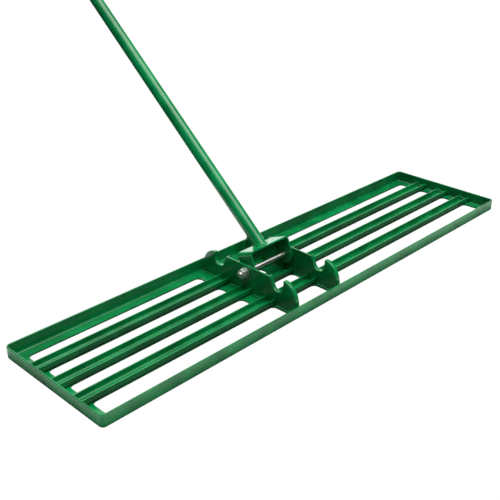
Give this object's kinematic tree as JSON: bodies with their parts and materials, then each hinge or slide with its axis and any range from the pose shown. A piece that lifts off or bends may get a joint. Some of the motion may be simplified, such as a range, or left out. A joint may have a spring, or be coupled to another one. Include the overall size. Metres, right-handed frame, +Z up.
{
  "type": "lawn levelling rake",
  "caption": "Wide slotted steel pan with raised channel ribs and a notched bracket, drawn over loose soil by a long tube handle that swings on a pivot bolt.",
  "frame": {"origin": "on the underside of the pan, at the middle of its length and width", "axes": "+X along the pan from left to right, +Y from its front to its back, the way the handle leans, +Z up"},
  "size_m": [1.067, 1.5338, 1.2507],
  "materials": {
    "green_powder_coat": "glossy powder coat over pressed steel",
    "zinc_plated_steel": "zinc plated",
    "turned_steel": "turned, oiled",
    "nylon": "moulded nylon",
    "black_rubber": "moulded, matt"
  },
  "bodies": {
    "head": {"pan": "green_powder_coat", "rib_rear": "green_powder_coat", "rib_middle": "green_powder_coat", "rib_front": "green_powder_coat", "side_plate_left": "green_powder_coat", "side_plate_right": "green_powder_coat", "pivot_bolt": "zinc_plated_steel", "head_washer": "zinc_plated_steel", "nut_washer": "zinc_plated_steel", "lock_nut": "zinc_plated_steel", "lock_nut_ring": "nylon", "spacer_left": "nylon", "spacer_right": "nylon"},
    "handle": {"yoke": "green_powder_coat", "tube_lower": "green_powder_coat", "socket_lower": "turned_steel", "stud_lower": "turned_steel", "tube_middle": "green_powder_coat", "socket_upper": "turned_steel", "stud_upper": "turned_steel", "tube_upper": "green_powder_coat", "grip": "black_rubber"}
  },
  "joints": [
    {"name": "handle_hinge", "type": "hinge", "parent": "head", "child": "handle", "pos_m": [-0.0588, 0.005, 0.042], "axis": [1, 0, 0], "range_deg": [-40, 130]}
  ]
}
